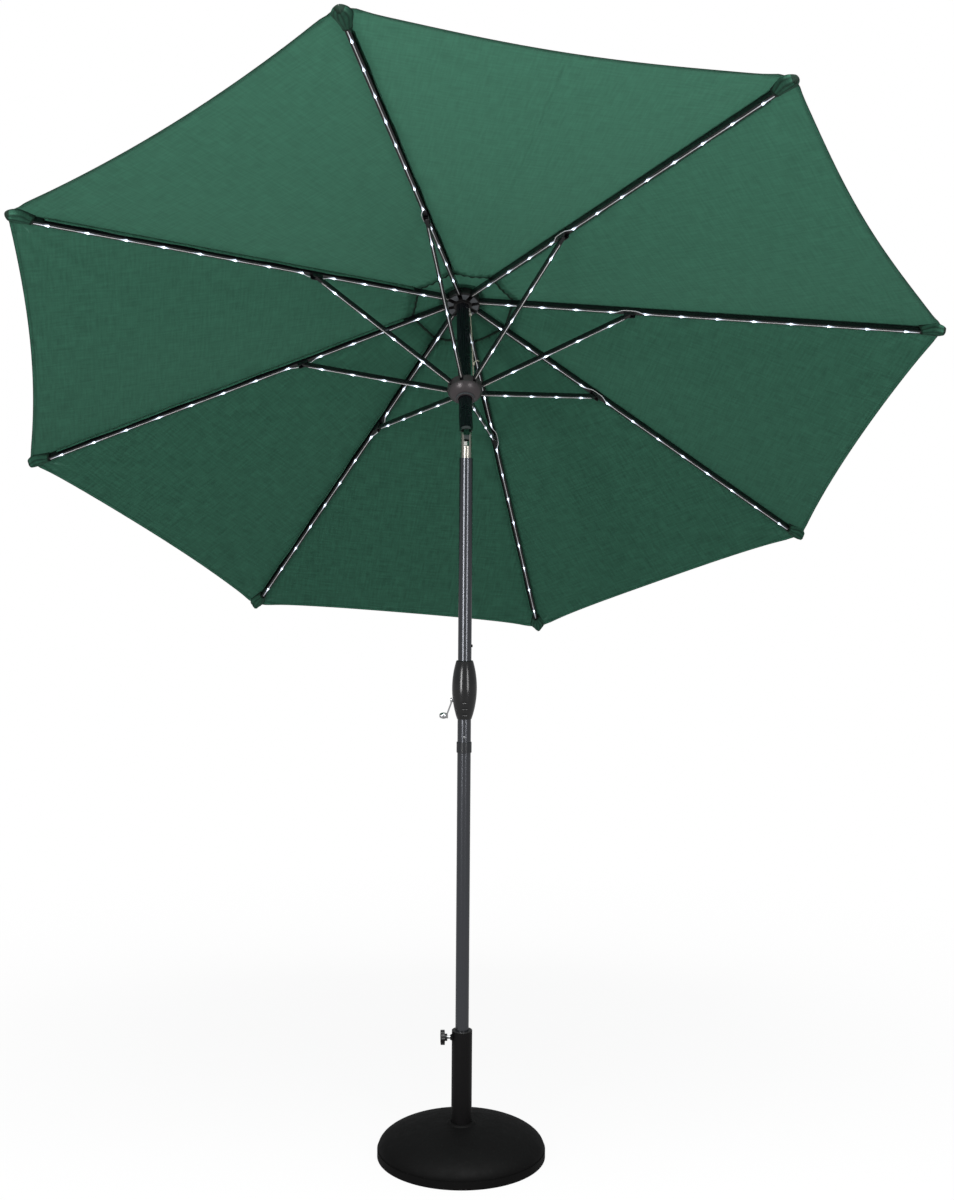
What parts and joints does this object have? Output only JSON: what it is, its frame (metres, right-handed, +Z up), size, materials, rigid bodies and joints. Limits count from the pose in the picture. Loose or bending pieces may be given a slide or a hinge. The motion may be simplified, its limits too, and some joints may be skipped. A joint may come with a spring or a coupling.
{
  "type": "patio umbrella with base",
  "caption": "Crank-lift market umbrella with a vented ribbed canopy leaning on its tilt joint, a two-part pole and a round weighted base with clamp knob.",
  "frame": {"origin": "centre of the base's flat underside, on the pole's axis", "axes": "+Z up along the pole, +Y the way the canopy leans, +X along the tilt pin"},
  "size_m": [2.5696, 2.1519, 2.8553],
  "materials": {
    "base_stone": "matt black textured cast resin stone",
    "black_steel": "black powder coat",
    "grey_pole": "glossy dark grey metallic paint",
    "pole_collar": "satin dark grey paint",
    "fluted_pole": "satin black paint over fluted tube",
    "rib_steel": "satin black paint",
    "bronze_plastic": "dark grey bronze moulded nylon",
    "gloss_plastic": "polished near-black plastic",
    "black_plastic": "moulded black plastic",
    "white_plastic": "white moulded nylon",
    "rubber": "soft black rubber",
    "chrome": "bright chrome plate",
    "nickel": "satin nickel plate",
    "dark_nickel": "dark nickel plate",
    "zinc": "zinc-plated steel",
    "cord": "cream braided polyester cord",
    "canopy_cloth": "dark green woven polyester",
    "solar_glass": "dark solar cell under glass"
  },
  "bodies": {
    "base": {"base_weight": "base_stone", "base_stem": "black_steel", "stem_nut": "black_steel"},
    "clamp_screw": {"clamp_screw": "zinc"},
    "clamp_knob": {"clamp_knob": "black_plastic"},
    "stem_ring": {"stem_ring": "black_plastic"},
    "mast": {"pole_foot": "black_plastic", "lower_pole": "grey_pole", "pole_sleeve": "zinc", "pole_collar": "pole_collar", "upper_pole": "grey_pole", "crank_housing_front": "gloss_plastic", "crank_housing_back": "gloss_plastic", "housing_screws": "zinc", "tilt_fork": "nickel", "tilt_pin": "nickel", "snap_spring": "zinc", "lift_cord_lower": "cord"},
    "snap_button": {"snap_button": "zinc"},
    "light_switch": {"light_switch": "rubber"},
    "crank": {"crank_shaft": "zinc", "crank_drum": "white_plastic", "crank_handle": "chrome"},
    "crank_knob": {"crank_knob": "chrome"},
    "tilt_button": {"tilt_button": "white_plastic"},
    "top_mast": {"tilt_knuckle": "dark_nickel", "top_pole": "fluted_pole", "top_hub": "bronze_plastic", "pulley_pin": "zinc", "vent_canopy": "canopy_cloth", "solar_housing": "black_plastic", "solar_cell": "solar_glass", "lift_cord_upper": "cord", "lift_cord": "cord"},
    "hub_pulley": {"hub_pulley": "white_plastic"},
    "runner": {"runner": "bronze_plastic"},
    "rib_1": {"rib_1": "rib_steel", "canopy_panel_1": "canopy_cloth"},
    "rib_2": {"rib_2": "rib_steel", "canopy_panel_2": "canopy_cloth"},
    "rib_3": {"rib_3": "rib_steel", "canopy_panel_3": "canopy_cloth"},
    "rib_4": {"rib_4": "rib_steel", "canopy_panel_4": "canopy_cloth"},
    "rib_5": {"rib_5": "rib_steel", "canopy_panel_5": "canopy_cloth"},
    "rib_6": {"rib_6": "rib_steel", "canopy_panel_6": "canopy_cloth"},
    "rib_7": {"rib_7": "rib_steel", "canopy_panel_7": "canopy_cloth"},
    "rib_8": {"rib_8": "rib_steel", "canopy_panel_8": "canopy_cloth"},
    "strut_1": {"strut_1": "rib_steel"},
    "strut_2": {"strut_2": "rib_steel"},
    "strut_3": {"strut_3": "rib_steel"},
    "strut_4": {"strut_4": "rib_steel"},
    "strut_5": {"strut_5": "rib_steel"},
    "strut_6": {"strut_6": "rib_steel"},
    "strut_7": {"strut_7": "rib_steel"},
    "strut_8": {"strut_8": "rib_steel"}
  },
  "joints": [
    {"name": "clamp_feed", "type": "slide", "parent": "base", "child": "clamp_screw", "axis": [-1, 0, 0], "range_m": [0, 0.0025]},
    {"name": "clamp_turn", "type": "hinge", "parent": "clamp_screw", "child": "clamp_knob", "pos_m": [-0.055, 0, 0.337], "axis": [-1, 0, 0], "range_deg": [0, 720]},
    {"name": "pole_swivel", "type": "hinge", "parent": "base", "child": "stem_ring", "pos_m": [0, 0, 0.35], "axis": [0, 0, 1], "continuous": true},
    {"name": "pole_lift", "type": "slide", "parent": "stem_ring", "child": "mast", "axis": [0, 0, 1], "range_m": [0, 0.27]},
    {"name": "snap_press", "type": "slide", "parent": "mast", "child": "snap_button", "axis": [0, 1, 0], "range_m": [0, 0.003], "stiffness_N_per_m": 800, "deforming": ["snap_spring"]},
    {"name": "switch_press", "type": "slide", "parent": "mast", "child": "light_switch", "axis": [-1, 0, 0], "range_m": [0, 0.0015], "stiffness_N_per_m": 600},
    {"name": "crank_turn", "type": "hinge", "parent": "mast", "child": "crank", "pos_m": [-0.037, 0, 1.294], "axis": [-1, 0, 0], "range_deg": [-560, 0]},
    {"name": "knob_spin", "type": "hinge", "parent": "crank", "child": "crank_knob", "pos_m": [-0.06, 0, 1.252], "axis": [-1, 0, 0], "continuous": true},
    {"name": "tilt_press", "type": "slide", "parent": "mast", "child": "tilt_button", "axis": [0, 1, 0], "range_m": [0, 0.004], "stiffness_N_per_m": 900},
    {"name": "canopy_tilt", "type": "hinge", "parent": "mast", "child": "top_mast", "pos_m": [0, 0, 2.035], "axis": [1, 0, 0], "range_deg": [0, 33.35]},
    {"name": "pulley_turn", "type": "hinge", "parent": "top_mast", "child": "hub_pulley", "pos_m": [0.011, 0.25728, 2.42593], "axis": [0, 0.8353, -0.5498], "range_deg": [0, 600]},
    {"name": "runner_slide", "type": "slide", "parent": "top_mast", "child": "runner", "axis": [0, 0.5498, 0.8353], "range_m": [-0.107, 0], "deforming": ["lift_cord"]},
    {"name": "rib_1_fold", "type": "hinge", "parent": "top_mast", "child": "rib_1", "pos_m": [-0.00928, 0.2441, 2.47292], "axis": [0.9697, -0.2041, 0.1343], "range_deg": [0, 7.7]},
    {"name": "rib_2_fold", "type": "hinge", "parent": "top_mast", "child": "rib_2", "pos_m": [0.01949, 0.24763, 2.4706], "axis": [0.8584, 0.4285, -0.282], "range_deg": [0, 7.7]},
    {"name": "rib_3_fold", "type": "hinge", "parent": "top_mast", "child": "rib_3", "pos_m": [0.03685, 0.26712, 2.45777], "axis": [0.2443, 0.81, -0.5331], "range_deg": [0, 7.7]},
    {"name": "rib_4_fold", "type": "hinge", "parent": "top_mast", "child": "rib_4", "pos_m": [0.03262, 0.29116, 2.44195], "axis": [-0.5129, 0.7171, -0.4719], "range_deg": [0, 7.7]},
    {"name": "rib_5_fold", "type": "hinge", "parent": "top_mast", "child": "rib_5", "pos_m": [0.00928, 0.30566, 2.43241], "axis": [-0.9697, 0.2041, -0.1343], "range_deg": [0, 7.7]},
    {"name": "rib_6_fold", "type": "hinge", "parent": "top_mast", "child": "rib_6", "pos_m": [-0.01949, 0.30212, 2.43473], "axis": [-0.8584, -0.4285, 0.282], "range_deg": [0, 7.7]},
    {"name": "rib_7_fold", "type": "hinge", "parent": "top_mast", "child": "rib_7", "pos_m": [-0.03685, 0.28263, 2.44756], "axis": [-0.2443, -0.81, 0.5331], "range_deg": [0, 7.7]},
    {"name": "rib_8_fold", "type": "hinge", "parent": "top_mast", "child": "rib_8", "pos_m": [-0.03262, 0.25859, 2.46338], "axis": [0.5129, -0.7171, 0.4719], "range_deg": [0, 7.7]},
    {"name": "strut_1_fold", "type": "hinge", "parent": "runner", "child": "strut_1", "pos_m": [-0.00928, 0.064, 2.19927], "axis": [-0.9697, 0.2041, -0.1343], "range_deg": [0, 6.5]},
    {"name": "strut_2_fold", "type": "hinge", "parent": "runner", "child": "strut_2", "pos_m": [0.01949, 0.06753, 2.19694], "axis": [-0.8584, -0.4285, 0.282], "range_deg": [0, 6.5]},
    {"name": "strut_3_fold", "type": "hinge", "parent": "runner", "child": "strut_3", "pos_m": [0.03685, 0.08702, 2.18411], "axis": [-0.2443, -0.81, 0.5331], "range_deg": [0, 6.5]},
    {"name": "strut_4_fold", "type": "hinge", "parent": "runner", "child": "strut_4", "pos_m": [0.03262, 0.11106, 2.16829], "axis": [0.5129, -0.7171, 0.4719], "range_deg": [0, 6.5]},
    {"name": "strut_5_fold", "type": "hinge", "parent": "runner", "child": "strut_5", "pos_m": [0.00928, 0.12556, 2.15875], "axis": [0.9697, -0.2041, 0.1343], "range_deg": [0, 6.5]},
    {"name": "strut_6_fold", "type": "hinge", "parent": "runner", "child": "strut_6", "pos_m": [-0.01949, 0.12203, 2.16108], "axis": [0.8584, 0.4285, -0.282], "range_deg": [0, 6.5]},
    {"name": "strut_7_fold", "type": "hinge", "parent": "runner", "child": "strut_7", "pos_m": [-0.03685, 0.10253, 2.17391], "axis": [0.2443, 0.81, -0.5331], "range_deg": [0, 6.5]},
    {"name": "strut_8_fold", "type": "hinge", "parent": "runner", "child": "strut_8", "pos_m": [-0.03262, 0.0785, 2.18973], "axis": [-0.5129, 0.7171, -0.4719], "range_deg": [0, 6.5]}
  ],
  "couplings": [
    {"joint": "clamp_turn", "follows": "clamp_feed", "rad_per_m": 5026.5},
    {"joint": "crank_turn", "follows": "runner_slide", "rad_per_m": 90.909},
    {"joint": "pulley_turn", "follows": "runner_slide", "rad_per_m": -97.087},
    {"joint": "rib_1_fold", "follows": "runner_slide", "rad_per_m": -1.2427},
    {"joint": "rib_2_fold", "follows": "runner_slide", "rad_per_m": -1.2427},
    {"joint": "rib_3_fold", "follows": "runner_slide", "rad_per_m": -1.2427},
    {"joint": "rib_4_fold", "follows": "runner_slide", "rad_per_m": -1.2427},
    {"joint": "rib_5_fold", "follows": "runner_slide", "rad_per_m": -1.2427},
    {"joint": "rib_6_fold", "follows": "runner_slide", "rad_per_m": -1.2427},
    {"joint": "rib_7_fold", "follows": "runner_slide", "rad_per_m": -1.2427},
    {"joint": "rib_8_fold", "follows": "runner_slide", "rad_per_m": -1.2427},
    {"joint": "strut_1_fold", "follows": "runner_slide", "rad_per_m": -1.0437},
    {"joint": "strut_2_fold", "follows": "runner_slide", "rad_per_m": -1.0437},
    {"joint": "strut_3_fold", "follows": "runner_slide", "rad_per_m": -1.0437},
    {"joint": "strut_4_fold", "follows": "runner_slide", "rad_per_m": -1.0437},
    {"joint": "strut_5_fold", "follows": "runner_slide", "rad_per_m": -1.0437},
    {"joint": "strut_6_fold", "follows": "runner_slide", "rad_per_m": -1.0437},
    {"joint": "strut_7_fold", "follows": "runner_slide", "rad_per_m": -1.0437},
    {"joint": "strut_8_fold", "follows": "runner_slide", "rad_per_m": -1.0437}
  ]
}
